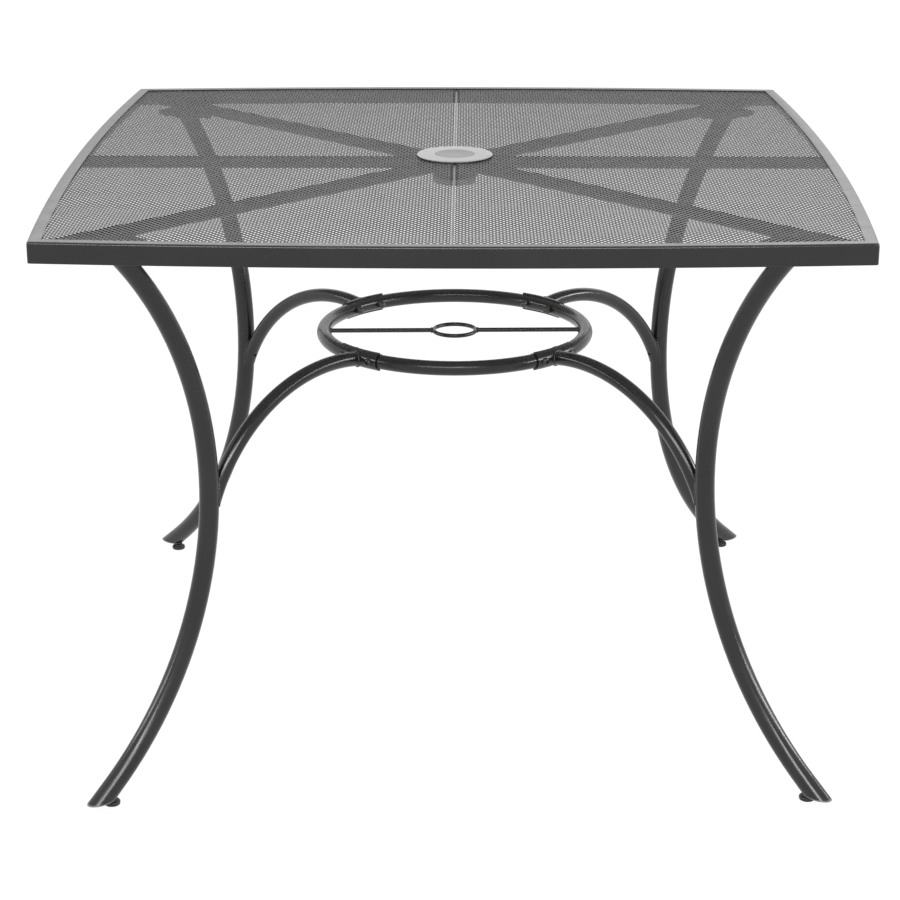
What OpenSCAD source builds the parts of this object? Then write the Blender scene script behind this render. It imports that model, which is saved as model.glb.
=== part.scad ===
// Garden table: square bowed top of expanded mesh, four curved legs and a braced centre ring.
// Millimetres, +Z up, origin on the floor under the middle of the table, front edge towards -Y.

/* [Table top] */
// Overall width and depth, measured across the bowed edges
table_w = 1000; // [800:10:1200]
// How far the middle of each edge bows out past its corners
edge_bow = 19; // [8:1:40]
// Height of the rails' top face above the floor
table_h = 727; // [680:1:780]
// Width of a rail, seen from above
rail_w = 16; // [14:1:24]
// Height of a rail
rail_h = 25; // [24:1:35]
// Wall of the rail tube
rail_wall = 1.2; // [1:0.1:2]
// Radius along the long edges of a rail
rail_edge_r = 3; // [2.5:0.5:5]
// Radius of the table's four corners, seen from above
corner_r = 4; // [2:0.5:4]
// Thickness of the expanded mesh
mesh_t = 1.2; // [0.8:0.1:2]
// How far the mesh lies below the rails' top face
mesh_drop = 1.2; // [0.5:0.1:2]
// Width of the strip where the two mesh panels meet
seam_w = 3; // [2:0.5:8]
// Openings across each mesh panel, standing for the fine mesh
mesh_cols = 6; // [2:1:6]
// Openings along each mesh panel
mesh_rows = 12; // [4:1:12]
// Width of the strands between the openings
strand_w = 22; // [10:1:40]
// Width of the plain strip along the rails
mesh_rim = 10; // [5:1:30]

/* [Bars under the mesh] */
// Diameter of the bars
bar_d = 16; // [12:1:20]
// Wall of the bars
bar_wall = 1.2; // [0.8:0.1:2]
// Outer diameter of the hub where the bars meet
hub_d = 60; // [60:1:70]
// Wall of the hub
hub_wall = 2; // [1.5:0.1:2]
// Height of the hub
hub_h = 25; // [20:1:40]

/* [Parasol collar] */
// Diameter of the collar's flange
collar_d = 100; // [80:1:120]
// Thickness of the collar's flange
collar_flange_t = 2.7; // [2.5:0.1:5]
// Length of the collar's tube below the mesh's top face
collar_len = 35; // [30:1:60]
// Bore for the parasol pole
pole_bore = 48; // [36:1:48]
// Diameter of the cap's top
cap_d = 52; // [52:0.5:53]
// Thickness of the cap's top
cap_t = 2; // [1.5:0.1:2.2]
// Bore that holds the cap's plug, above the bore for the pole
plug_bore = 50; // [49:0.5:50]
// Depth of the cap's plug below its top
plug_depth = 15; // [10:1:22]
// Wall of the cap's plug
plug_wall = 2; // [1.5:0.1:3]

/* [Legs] */
// Diameter of a leg tube
leg_d = 25; // [22:1:30]
// Wall of the leg tube
leg_wall = 1.5; // [1:0.1:2.5]
// Bend radius of a leg, on its centre line
leg_bend_r = 458.7; // [440:0.1:500]
// Distance from the table's corner to the middle of a leg's top
leg_inset = 114.35; // [105:0.05:150]
// Height of a leg's waist
leg_waist_z = 383; // [370:1:395]
// Twist of each leg about its diagonal, as the photographed table stands
leg_lean = 1.1; // [0:0.1:2]
// Height of the leg's level cut above the floor
leg_cut_z = 11; // [11:0.5:16]

/* [Leg mounting] */
// Length of the two mounting plates, along the diagonal
plate_l = 72; // [70:1:90]
// Width of the two mounting plates
plate_w = 50; // [48:1:70]
// Thickness of each mounting plate
plate_t = 3; // [2:0.5:3]
// Diameter of the leg screws
screw_d = 6; // [5:0.5:8]
// Diameter of their heads
screw_head_d = 10; // [9:0.5:13]
// Height of their heads
screw_head_h = 3.6; // [3:0.1:6]
// Screw spacing along the diagonal
screw_span_l = 56; // [54:1:60]
// Screw spacing across the diagonal
screw_span_w = 34; // [30:1:36]

/* [Feet] */
// Thickness of the plug's lip under the tube
plug_lip_t = 1.5; // [1:0.1:2]
// How far the plug reaches up into the tube
plug_len = 24; // [20:1:32]
// Diameter of a glide's pad
glide_d = 20; // [16:1:24]
// Height of a glide's pad
glide_pad_h = 5.5; // [4:0.1:6]
// Bevel round the top and the bottom of a glide's pad
glide_bevel = 1; // [0.5:0.1:1.5]
// Diameter of a glide's neck
glide_neck_d = 12; // [10:1:14]
// Height of the neck above the pad
glide_neck_h = 2.5; // [1.5:0.1:2.5]
// Diameter of a glide's screw
glide_screw_d = 6; // [5:0.5:8]
// Length of the screw above the neck
glide_screw_l = 22; // [16:1:22]
// Distance of a glide from the inner end of the tube's cut
glide_inset = 6.5; // [6:0.5:12]

/* [Ring and braces] */
// Height of the ring's centre line
ring_z = 486; // [460:1:510]
// Bend radius of the ring, on its centre line
ring_r = 177; // [150:1:200]
// Diameter of the ring tube
ring_d = 19; // [16:1:22]
// Wall of the ring tube
ring_wall = 1.2; // [1:0.1:2]
// Diameter of a brace tube
brace_d = 19; // [16:1:22]
// Wall of a brace tube
brace_wall = 1.2; // [1:0.1:2]
// Bend radius of a brace, on its centre line
brace_bend_r = 228; // [220:1:240]
// How far inside the leg's centre line a brace's lower end lies
brace_sink = 5; // [2:0.5:8]
// Height of a brace's lower end
brace_end_z = 347; // [345:1:360]
// Diameter of the drain hole in a brace
drain_d = 5; // [3:0.5:6]
// Height of the drain hole
drain_z = 367; // [362:1:380]
// Length of a saddle plate round the ring
saddle_l = 72; // [66:1:90]
// Thickness of a saddle plate
saddle_t = 2.5; // [2:0.1:4]
// Spacing of the two bolts in a saddle
bolt_span = 46; // [42:1:50]
// Diameter of the saddle bolts
bolt_d = 6; // [5:0.5:8]
// Diameter of the bolt heads
bolt_head_d = 11; // [10:0.5:13]
// Height of the bolt heads
bolt_head_h = 3.5; // [3:0.5:6]
// Width across the flats of the cap nuts
nut_af = 11; // [10:0.5:14]
// Height of a cap nut's hexagon
nut_h = 5; // [4:0.5:7]

/* [Pole guide] */
// Diameter of the rod across the ring
rod_d = 6; // [5:0.5:8]
// Inner diameter of the guide ring
guide_bore = 51.5; // [50:0.5:60]
// Thickness of the guide ring's bar
guide_bar_d = 5.5; // [4:0.5:8]

/* [Clearances] */
// Radial clearance of a sliding plastic fit
slide_gap = 0.3; // [0.2:0.05:0.4]
// Radial clearance of the glide's screw in its plug
screw_gap = 0.1; // [0.05:0.01:0.1]
// Radial clearance of a bolt or screw in its hole
bolt_gap = 0.25; // [0.1:0.05:0.5]
// Radial clearance of the foot plug in the leg tube
plug_gap = 0.1; // [0:0.05:0.3]

/* [Hidden] */
CORNERS = ["front_left", "front_right", "rear_right", "rear_left"];
SIDES = ["front", "right", "rear", "left"];
corner_turn = [225, 315, 45, 135];
side_turn = [0, 90, 180, 270];
big = 2 * table_w;
eps = 0.01;
arc_fn = 360;
edge_fn = 1440;
round_fn = 64;
flat_fn = 12;

// Top: each edge is one arc, square to the middle of its side
corner_span = table_w - 2 * edge_bow;
edge_r = (corner_span * corner_span / 4 + edge_bow * edge_bow) / (2 * edge_bow);
edge_half = asin(corner_span / 2 / edge_r);
corner_half = 45 + edge_half;
mitre_margin = 1;
corner_reach = corner_span / sqrt(2);
rail_z = table_h - rail_h;
mesh_top = table_h - mesh_drop;
mesh_bottom = mesh_top - mesh_t;
bar_z = mesh_bottom - bar_d / 2;
bar_bottom = bar_z - bar_d / 2;
plate_z = bar_bottom - plate_t;
flange_z = plate_z - plate_t;

// Collar and cap
collar_top = mesh_top + collar_flange_t;
collar_od = hub_d - 2 * hub_wall - 2 * slide_gap;
mesh_hole_d = collar_od + 2 * slide_gap;
cap_seat_z = collar_top - cap_t;
plug_od = plug_bore - 2 * slide_gap;
plug_floor_z = cap_seat_z - plug_depth - slide_gap;

// Leg: one bend whose centre lies outside the table, with a short straight end at top and foot.
// Each level cut lies within its straight end.
cut_margin = 0.2;
function cut_angle(rise) = asin(rise / leg_bend_r);
function cut_reach(rise) = leg_d / 2 * tan(cut_angle(rise)) / leg_bend_r * 180 / PI;
function bend_angle(rise) = cut_angle(rise) - cut_reach(rise) - cut_margin;
function end_out(rise) = let (a = bend_angle(rise))
    leg_bend_r * (1 - cos(a)) + (rise - leg_bend_r * sin(a)) * tan(a);
leg_up = bend_angle(flange_z - leg_waist_z);
leg_down = bend_angle(leg_waist_z - leg_cut_z);
leg_top_r = corner_reach - leg_inset;
leg_waist_r = leg_top_r - end_out(flange_z - leg_waist_z);
leg_foot_r = leg_waist_r + end_out(leg_waist_z - leg_cut_z);
leg_centre_r = leg_waist_r + leg_bend_r;
leg_end_l = 4 * leg_d;
end_overlap = 2;
end_swell = 0.1;
glide_r = leg_foot_r - leg_d / 2 / cos(leg_down) + glide_inset;
glide_shift = tan(leg_lean) * table_h;
lip_z = leg_cut_z - plug_lip_t;
glide_neck_z = glide_pad_h + glide_neck_h;
screw_room = 2;
plug_hole_z = glide_neck_z + glide_screw_l + screw_room;

// Brace arc: from the saddle, level with the ring, down to the leg
saddle_face_r = ring_r + ring_d / 2 + saddle_t;
brace_end_r = leg_centre_r - sqrt(pow(leg_bend_r, 2) - pow(leg_waist_z - brace_end_z, 2)) - brace_sink;
brace_chord = norm([brace_end_r - saddle_face_r, ring_z - brace_end_z]);
brace_back = sqrt(pow(brace_bend_r, 2) - pow(brace_chord / 2, 2)) / brace_chord;
brace_crest_r = (saddle_face_r + brace_end_r) / 2 - brace_back * (ring_z - brace_end_z);
brace_centre_z = (ring_z + brace_end_z) / 2 - brace_back * (brace_end_r - saddle_face_r);
brace_start = 90 + asin((brace_crest_r - ring_r) / brace_bend_r);
drain_angle = asin((drain_z - brace_centre_z) / brace_bend_r);
ring_yaw = atan(tan(leg_lean) * (table_h - ring_z) / saddle_face_r);
saddle_angle = saddle_l / saddle_face_r * 180 / PI;
bolt_angle = asin(bolt_span / 2 / ring_r);
guide_r = (guide_bore + guide_bar_d) / 2;

anthracite = [0.20, 0.20, 0.19];
mesh_grey = [0.42, 0.42, 0.41];
collar_grey = [0.78, 0.78, 0.78];
cap_grey = [0.66, 0.66, 0.66];
plug_grey = [0.45, 0.45, 0.45];
pad_black = [0.06, 0.06, 0.06];
bolt_grey = [0.30, 0.30, 0.29];

// Places its children in the frame of one leg: +X along the diagonal, +Z up
module on_diagonal(turn) {
    rotate([0, 0, turn]) children();
}

// The same frame, twisted about the diagonal at the height of the table top
module on_leg(turn) {
    on_diagonal(turn)
        translate([0, 0, table_h])
            rotate([leg_lean, 0, 0])
                translate([0, 0, -table_h])
                    children();
}

// Horizontal slab that keeps what lies between two heights
module slab(low, high) {
    translate([-big / 2, -big / 2, low]) cube([big, big, high - low]);
}

// Rectangle centred on the origin, with corners rounded in three flats each
module round_rect(w, h, r) {
    union() {
        square([w - 2 * r, h], center = true);
        square([w, h - 2 * r], center = true);
        for (sx = [-1, 1], sy = [-1, 1])
            translate([sx * (w / 2 - r), sy * (h / 2 - r)]) circle(r = r, $fn = flat_fn);
    }
}

// Outline of the top, drawn in by an inset: the space between four edge arcs
module top_outline(inset) {
    intersection_for (turn = side_turn)
        rotate(turn)
            translate([0, edge_r - table_w / 2])
                circle(r = edge_r - inset, $fn = edge_fn);
}

// Outer outline of the top with its corners rounded
module rounded_outline() {
    centre = corner_reach - corner_r / sin(corner_half);
    flat = centre + corner_r * sin(corner_half);
    union() {
        intersection() {
            top_outline(0);
            rotate(45) square(2 * flat, center = true);
        }
        for (turn = corner_turn)
            rotate(turn) translate([centre, 0]) circle(r = corner_r, $fn = round_fn);
    }
}

// Rail section, with the tube's hollow
module rail_section() {
    difference() {
        round_rect(rail_w, rail_h, rail_edge_r);
        round_rect(rail_w - 2 * rail_wall, rail_h - 2 * rail_wall, rail_edge_r - rail_wall);
    }
}

// One bowed rail, mitred at both corners
module rail(turn) {
    sweep = 2 * (edge_half + mitre_margin);
    color(anthracite)
    rotate([0, 0, turn])
        intersection() {
            translate([0, edge_r - table_w / 2, rail_z + rail_h / 2])
                rotate([0, 0, 270 - sweep / 2])
                    rotate_extrude(angle = sweep, $fn = edge_fn)
                        translate([edge_r - rail_w / 2, 0]) rail_section();
            linear_extrude(height = table_h + eps)
                polygon([[0, 0], [-table_w, -table_w], [table_w, -table_w]]);
            linear_extrude(height = table_h + eps) rounded_outline();
        }
}

// Square openings of one mesh panel, clear of the rails and the collar
module mesh_openings(side) {
    reach = table_w / 2 - rail_w - mesh_rim;
    pitch_x = (reach - seam_w / 2) / mesh_cols;
    pitch_y = 2 * reach / mesh_rows;
    difference() {
        intersection() {
            top_outline(rail_w + mesh_rim);
            for (i = [0 : mesh_cols - 1], j = [0 : mesh_rows - 1])
                translate([side * (seam_w / 2 + (i + 0.5) * pitch_x), (j + 0.5) * pitch_y - reach])
                    square([pitch_x - strand_w, pitch_y - strand_w], center = true);
        }
        circle(d = collar_d + 2 * mesh_rim, $fn = round_fn);
    }
}

// One half of the mesh, side -1 for the left and 1 for the right
module mesh_panel(side) {
    color(mesh_grey)
    translate([0, 0, mesh_bottom])
        linear_extrude(height = mesh_t)
            difference() {
                intersection() {
                    top_outline(rail_w);
                    translate([side * (seam_w + table_w) / 2, 0])
                        square([table_w, 2 * table_w], center = true);
                }
                circle(d = mesh_hole_d, $fn = round_fn);
                mesh_openings(side);
            }
}

// Strip between the two mesh panels, in front of the collar and behind it
module mesh_seam() {
    color(mesh_grey)
    translate([0, 0, mesh_bottom])
        linear_extrude(height = mesh_t)
            difference() {
                intersection() {
                    top_outline(rail_w);
                    square([seam_w, 2 * table_w], center = true);
                }
                circle(d = mesh_hole_d, $fn = round_fn);
            }
}

// Tube under the mesh from the hub to the frame, cut to the rails' inner faces
module under_bar(turn) {
    color(anthracite)
    intersection() {
        difference() {
            rotate([0, 0, turn]) translate([0, 0, bar_z]) rotate([0, 90, 0])
                difference() {
                    cylinder(h = table_w, d = bar_d, $fn = round_fn);
                    translate([0, 0, -eps])
                        cylinder(h = table_w + 2 * eps, d = bar_d - 2 * bar_wall, $fn = round_fn);
                }
            cylinder(h = table_h, d = hub_d, $fn = round_fn);
        }
        linear_extrude(height = table_h) top_outline(rail_w);
    }
}

// Sleeve under the mesh that the bars are welded to
module hub() {
    color(anthracite)
    translate([0, 0, mesh_bottom - hub_h])
        difference() {
            cylinder(h = hub_h, d = hub_d, $fn = round_fn);
            translate([0, 0, -eps]) cylinder(h = hub_h + 2 * eps, d = hub_d - 2 * hub_wall, $fn = round_fn);
        }
}

// Plastic collar that lines the hole for the parasol pole
module parasol_collar() {
    color(collar_grey)
    difference() {
        union() {
            translate([0, 0, mesh_top]) cylinder(h = collar_flange_t, d = collar_d, $fn = round_fn);
            translate([0, 0, mesh_top - collar_len]) cylinder(h = collar_len, d = collar_od, $fn = round_fn);
        }
        translate([0, 0, mesh_top - collar_len - eps])
            cylinder(h = collar_len + collar_flange_t + 2 * eps, d = pole_bore, $fn = round_fn);
        translate([0, 0, plug_floor_z]) cylinder(h = collar_len, d = plug_bore, $fn = round_fn);
        translate([0, 0, cap_seat_z]) cylinder(h = cap_t + eps, d = cap_d + 2 * slide_gap, $fn = round_fn);
    }
}

// Cap with a hollow plug that closes the collar
module parasol_cap() {
    color(cap_grey)
    difference() {
        union() {
            translate([0, 0, cap_seat_z]) cylinder(h = cap_t, d = cap_d, $fn = round_fn);
            translate([0, 0, cap_seat_z - plug_depth]) cylinder(h = plug_depth, d = plug_od, $fn = round_fn);
        }
        translate([0, 0, cap_seat_z - plug_depth - eps])
            cylinder(h = plug_depth, d = plug_od - 2 * plug_wall, $fn = round_fn);
    }
}

// Places its children at the four screws of one leg's mounting plates
module at_screws() {
    for (sx = [-1, 1], sy = [-1, 1])
        translate([leg_top_r + sx * screw_span_l / 2, sy * screw_span_w / 2, 0]) children();
}

// One mounting plate with its four screw holes
module screwed_plate(turn, low) {
    color(anthracite)
    on_diagonal(turn)
        difference() {
            translate([leg_top_r - plate_l / 2, -plate_w / 2, low]) cube([plate_l, plate_w, plate_t]);
            translate([0, 0, low - eps])
                at_screws() cylinder(h = plate_t + 2 * eps, d = screw_d + 2 * bolt_gap, $fn = round_fn);
        }
}

// Screws that hold the legs' flanges to the plates under the diagonals
module leg_screws() {
    color(bolt_grey)
    for (turn = corner_turn)
        on_diagonal(turn)
            at_screws() {
                translate([0, 0, flange_z]) cylinder(h = 2 * plate_t, d = screw_d, $fn = round_fn);
                translate([0, 0, flange_z - screw_head_h])
                    cylinder(h = screw_head_h, d = screw_head_d, $fn = round_fn);
            }
}

// Places its children at the centre of a leg's bend, with +X outwards and +Y up
module at_bend() {
    translate([leg_centre_r, 0, leg_waist_z]) rotate([90, 0, 0]) children();
}

// The bent part of a leg as a sweep of the given diameter
module leg_bend(d) {
    at_bend()
        rotate([0, 0, 180 - leg_up])
            rotate_extrude(angle = leg_up + leg_down, $fn = arc_fn)
                translate([leg_bend_r, 0]) circle(d = d, $fn = round_fn);
}

// The whole leg as a sweep of the given diameter, with straight ends longer than the leg's own.
// The ends overlap the bend and differ from it a hair in diameter, so that the faces stay apart.
module leg_sweep(d, end_extra) {
    union() {
        leg_bend(d);
        at_bend() rotate([0, 0, 180 - leg_up]) translate([leg_bend_r, end_overlap, 0])
            rotate([90, 0, 0]) cylinder(h = leg_end_l, d = d + end_extra, $fn = round_fn);
        at_bend() rotate([0, 0, 180 + leg_down]) translate([leg_bend_r, -end_overlap, 0])
            rotate([-90, 0, 0]) cylinder(h = leg_end_l, d = d + end_extra, $fn = round_fn);
    }
}

// One leg tube, cut level under its flange and above the floor
module leg(turn) {
    color(anthracite)
    intersection() {
        on_leg(turn)
            difference() {
                leg_sweep(leg_d, end_swell);
                leg_sweep(leg_d - 2 * leg_wall, -end_swell);
            }
        slab(leg_cut_z, flange_z);
    }
}

// Places its children over one glide, which stands upright under the leaning leg
module at_glide(turn) {
    on_diagonal(turn) translate([glide_r, glide_shift, 0]) children();
}

// Plastic plug in the foot of a leg, with a lip over the tube's cut edge
module foot_plug(turn) {
    color(plug_grey)
    difference() {
        union() {
            intersection() {
                on_leg(turn) leg_sweep(leg_d, end_swell);
                slab(lip_z, leg_cut_z);
            }
            intersection() {
                on_leg(turn) leg_sweep(leg_d - 2 * leg_wall - 2 * plug_gap, -end_swell);
                slab(lip_z, leg_cut_z + plug_len);
            }
        }
        at_glide(turn)
            cylinder(h = plug_hole_z, d = glide_screw_d + 2 * screw_gap, $fn = round_fn);
    }
}

// Levelling glide: pad, neck and screw in one piece
module glide(turn) {
    color(pad_black)
    at_glide(turn) {
        cylinder(h = glide_bevel, d1 = glide_d - 2 * glide_bevel, d2 = glide_d, $fn = round_fn);
        translate([0, 0, glide_bevel])
            cylinder(h = glide_pad_h - 2 * glide_bevel, d = glide_d, $fn = round_fn);
        translate([0, 0, glide_pad_h - glide_bevel])
            cylinder(h = glide_bevel, d1 = glide_d, d2 = glide_d - 2 * glide_bevel, $fn = round_fn);
        translate([0, 0, glide_pad_h]) cylinder(h = glide_neck_h, d = glide_neck_d, $fn = round_fn);
        translate([0, 0, glide_neck_z]) cylinder(h = glide_screw_l, d = glide_screw_d, $fn = round_fn);
    }
}

// The bent brace as a sweep of the given diameter, from inside the ring to inside the leg
module brace_arc(d) {
    translate([brace_crest_r, 0, brace_centre_z])
        rotate([90, 0, 0])
            rotate_extrude(angle = brace_start, $fn = arc_fn)
                translate([brace_bend_r, 0]) circle(d = d, $fn = round_fn);
}

// One brace tube, coped to the leg and to the saddle plate
module brace(turn) {
    color(anthracite)
    intersection() {
        on_leg(turn)
            difference() {
                brace_arc(brace_d);
                brace_arc(brace_d - 2 * brace_wall);
                leg_bend(leg_d);
                translate([brace_crest_r, 0, brace_centre_z])
                    rotate([0, -drain_angle, 0])
                        translate([brace_bend_r - brace_d, 0, 0])
                            rotate([0, 90, 0]) cylinder(h = brace_d, d = drain_d, $fn = round_fn);
            }
        difference() {
            slab(brace_end_z, table_h);
            ring_frame() ring_sweep(ring_d + 2 * saddle_t);
        }
    }
}

// The frame of the ring, turned with the leaning legs
module ring_frame() {
    translate([0, 0, ring_z]) rotate([0, 0, ring_yaw]) children();
}

// Full turn of the ring's round section
module ring_sweep(d) {
    rotate_extrude($fn = arc_fn)
        translate([ring_r, 0]) circle(d = d, $fn = round_fn);
}

// Places its children on the axes of the eight saddle bolts, +Z pointing outwards
module at_bolts() {
    for (turn = corner_turn, side = [-1, 1])
        rotate([0, 0, turn + side * bolt_angle]) rotate([0, 90, 0]) children();
}

// Centre ring, a tube drilled for the saddle bolts
module ring() {
    color(anthracite)
    ring_frame()
        difference() {
            ring_sweep(ring_d);
            ring_sweep(ring_d - 2 * ring_wall);
            at_bolts()
                translate([0, 0, ring_r - ring_d])
                    cylinder(h = 2 * ring_d, d = bolt_d + 2 * bolt_gap, $fn = round_fn);
        }
}

// Half shell at the end of a brace that bolts to the outside of the ring
module saddle(turn) {
    color(anthracite)
    ring_frame()
        difference() {
            rotate([0, 0, turn - saddle_angle / 2])
                rotate_extrude(angle = saddle_angle, $fn = arc_fn)
                    translate([ring_r, 0])
                        intersection() {
                            difference() {
                                circle(d = ring_d + 2 * saddle_t, $fn = round_fn);
                                circle(d = ring_d, $fn = round_fn);
                            }
                            translate([0, -ring_d]) square(2 * ring_d);
                        }
            at_bolts()
                translate([0, 0, ring_r])
                    cylinder(h = 2 * ring_d, d = bolt_d + 2 * bolt_gap, $fn = round_fn);
        }
}

// Bolts through saddle and ring, with their heads outside
module saddle_bolts() {
    color(bolt_grey)
    ring_frame()
        at_bolts() {
            translate([0, 0, ring_r - ring_d / 2 - nut_h])
                cylinder(h = ring_d + saddle_t + nut_h, d = bolt_d, $fn = round_fn);
            translate([0, 0, saddle_face_r]) cylinder(h = bolt_head_h, d = bolt_head_d, $fn = round_fn);
        }
}

// Cap nuts on the inner side of the ring
module saddle_nuts() {
    seat = ring_r - ring_d / 2;
    nut_d = nut_af / cos(30);
    cope = ring_d / 8;
    color(bolt_grey)
    ring_frame()
        difference() {
            at_bolts() {
                translate([0, 0, seat - nut_h]) cylinder(h = nut_h + cope, d = nut_d, $fn = 6);
                intersection() {
                    translate([0, 0, seat - nut_h]) sphere(d = nut_af, $fn = round_fn);
                    translate([0, 0, seat - nut_h - nut_af]) cylinder(h = nut_af, d = nut_af, $fn = round_fn);
                }
            }
            ring_sweep(ring_d);
            at_bolts()
                translate([0, 0, seat - nut_h]) cylinder(h = nut_h + 2 * cope, d = bolt_d, $fn = round_fn);
        }
}

// One half of the rod, from the guide ring to the centre ring
module rod(turn) {
    color(anthracite)
    ring_frame()
        difference() {
            rotate([0, 0, turn])
                translate([guide_r, 0, 0]) rotate([0, 90, 0])
                    cylinder(h = ring_r - guide_r, d = rod_d, $fn = round_fn);
            ring_sweep(ring_d);
            guide_sweep();
        }
}

// Full turn of the guide ring's bar
module guide_sweep() {
    rotate_extrude($fn = arc_fn)
        translate([guide_r, 0]) circle(d = guide_bar_d, $fn = round_fn);
}

// Ring that steadies the parasol pole below the top
module guide_ring() {
    color(anthracite) ring_frame() guide_sweep();
}

for (i = [0:3]) {
    rail(side_turn[i]);
    under_bar(corner_turn[i]);
    screwed_plate(corner_turn[i], plate_z);
    screwed_plate(corner_turn[i], flange_z);
    leg(corner_turn[i]);
    foot_plug(corner_turn[i]);
    glide(corner_turn[i]);
    brace(corner_turn[i]);
    saddle(corner_turn[i]);
}
mesh_panel(-1);  // mesh_left
mesh_panel(1);  // mesh_right
mesh_seam();
under_bar(180);  // cross_bar_left
under_bar(0);  // cross_bar_right
hub();
parasol_collar();
parasol_cap();
leg_screws();
ring();
saddle_bolts();
saddle_nuts();
rod(180);  // rod_left
rod(0);  // rod_right
guide_ring();
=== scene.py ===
import math

import bmesh
import bpy
import numpy as np
from mathutils import Matrix, Vector


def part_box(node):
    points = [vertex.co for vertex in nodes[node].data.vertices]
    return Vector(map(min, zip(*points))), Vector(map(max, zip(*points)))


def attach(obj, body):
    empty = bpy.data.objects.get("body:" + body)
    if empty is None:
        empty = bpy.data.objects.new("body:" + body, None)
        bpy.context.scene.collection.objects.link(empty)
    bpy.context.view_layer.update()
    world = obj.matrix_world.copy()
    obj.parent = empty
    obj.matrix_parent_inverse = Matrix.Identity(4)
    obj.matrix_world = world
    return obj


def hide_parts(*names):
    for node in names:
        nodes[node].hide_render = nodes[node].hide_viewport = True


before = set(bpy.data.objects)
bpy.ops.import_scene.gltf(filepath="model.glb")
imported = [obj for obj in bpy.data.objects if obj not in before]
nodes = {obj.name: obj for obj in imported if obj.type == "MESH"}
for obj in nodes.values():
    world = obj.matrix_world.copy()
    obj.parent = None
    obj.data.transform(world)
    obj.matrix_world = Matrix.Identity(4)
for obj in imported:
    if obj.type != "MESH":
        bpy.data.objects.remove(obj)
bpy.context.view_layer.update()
scene = bpy.context.scene
CORNERS = {"front_left": 225, "front_right": 315, "rear_right": 45, "rear_left": 135}
BAR_TURNS = (0, 45, 135, 180, 225, 315)

# Sizes of the CAD source, in metres
TABLE_W, EDGE_BOW, TABLE_H = 1.0, 0.019, 0.727
RAIL_W, RAIL_H = 0.016, 0.025
MESH_TOP, MESH_T = 0.7258, 0.0012
SPAN = TABLE_W - 2 * EDGE_BOW
EDGE_R = (SPAN * SPAN / 4 + EDGE_BOW ** 2) / (2 * EDGE_BOW)
EDGE_MID = EDGE_R - TABLE_W / 2
CORNER_REACH = SPAN / math.sqrt(2)
BAR_D, BAR_Z = 0.016, 0.7166
HUB_D = 0.060
FLANGE_Z = 0.7026
LEAN = math.radians(1.1)
LEG_D, LEG_BEND_R, LEG_WAIST_R, LEG_WAIST_Z = 0.025, 0.4587, 0.4365, 0.383
RING_Z, RING_R, RING_D, SADDLE_T = 0.486, 0.177, 0.019, 0.0025
BRACE_D, BRACE_BEND_R, BRACE_CREST_R, BRACE_END_Z = 0.019, 0.228, 0.222, 0.347
BOLT_SPAN, BOLT_D, HEAD_D, HEAD_H, NUT_AF, NUT_H = 0.046, 0.006, 0.011, 0.0035, 0.011, 0.005
SADDLE_R = RING_R + RING_D / 2 + SADDLE_T
BRACE_Z = RING_Z - math.sqrt(BRACE_BEND_R ** 2 - (BRACE_CREST_R - SADDLE_R) ** 2)
RING_YAW = math.atan(math.tan(LEAN) * (TABLE_H - RING_Z) / SADDLE_R)
BOLT_ANGLE = math.asin(BOLT_SPAN / 2 / RING_R)
GUIDE_R, GUIDE_D, ROD_D = 0.0285, 0.0055, 0.006

# Camera, solved from the photograph: its focal length is in pixels of the 900 pixel frame
PHOTO_W, FOCAL, SENSOR_W = 900, 2319, 36
cam_data = bpy.data.cameras.new("camera")
cam_data.sensor_width = SENSOR_W
cam_data.lens = FOCAL / PHOTO_W * SENSOR_W
cam_data.clip_start, cam_data.clip_end = 0.1, 100
cam = bpy.data.objects.new("camera", cam_data)
cam.location = (0.0166, -3.0236, 1.3614)
cam.rotation_euler = (math.radians(70.89), 0, math.radians(0.435))
scene.collection.objects.link(cam)
scene.camera = cam


# Node helpers
def add(tree, kind, **values):
    n = tree.nodes.new(kind)
    for k, v in values.items():
        setattr(n, k, v)
    return n


def wire(tree, a, b):
    tree.links.new(a, b)


def noise(tree, coord, scale, detail, rough=0.5):
    n = add(tree, "ShaderNodeTexNoise")
    n.inputs["Scale"].default_value = scale
    n.inputs["Detail"].default_value = detail
    n.inputs["Roughness"].default_value = rough
    wire(tree, coord, n.inputs["Vector"])
    return n.outputs["Fac"]


def span(tree, value, low, high, from_low=0.3, from_high=0.7):
    n = add(tree, "ShaderNodeMapRange")
    n.inputs["From Min"].default_value = from_low
    n.inputs["From Max"].default_value = from_high
    n.inputs["To Min"].default_value = low
    n.inputs["To Max"].default_value = high
    wire(tree, value, n.inputs["Value"])
    return n.outputs["Result"]


def blend_colours(tree, fac, a, b):
    """Mixes two colours, each a tuple or the output of a node."""
    n = add(tree, "ShaderNodeMix", data_type="RGBA")
    wire(tree, fac, n.inputs["Factor"])
    for socket, c in ((n.inputs[6], a), (n.inputs[7], b)):
        if isinstance(c, tuple):
            socket.default_value = (*c, 1)
        else:
            wire(tree, c, socket)
    return n.outputs[2]


def bump(tree, height, strength, distance, normal=None):
    n = add(tree, "ShaderNodeBump")
    n.inputs["Strength"].default_value = strength
    n.inputs["Distance"].default_value = distance
    wire(tree, height, n.inputs["Height"])
    if normal is not None:
        wire(tree, normal, n.inputs["Normal"])
    return n.outputs["Normal"]


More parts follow.
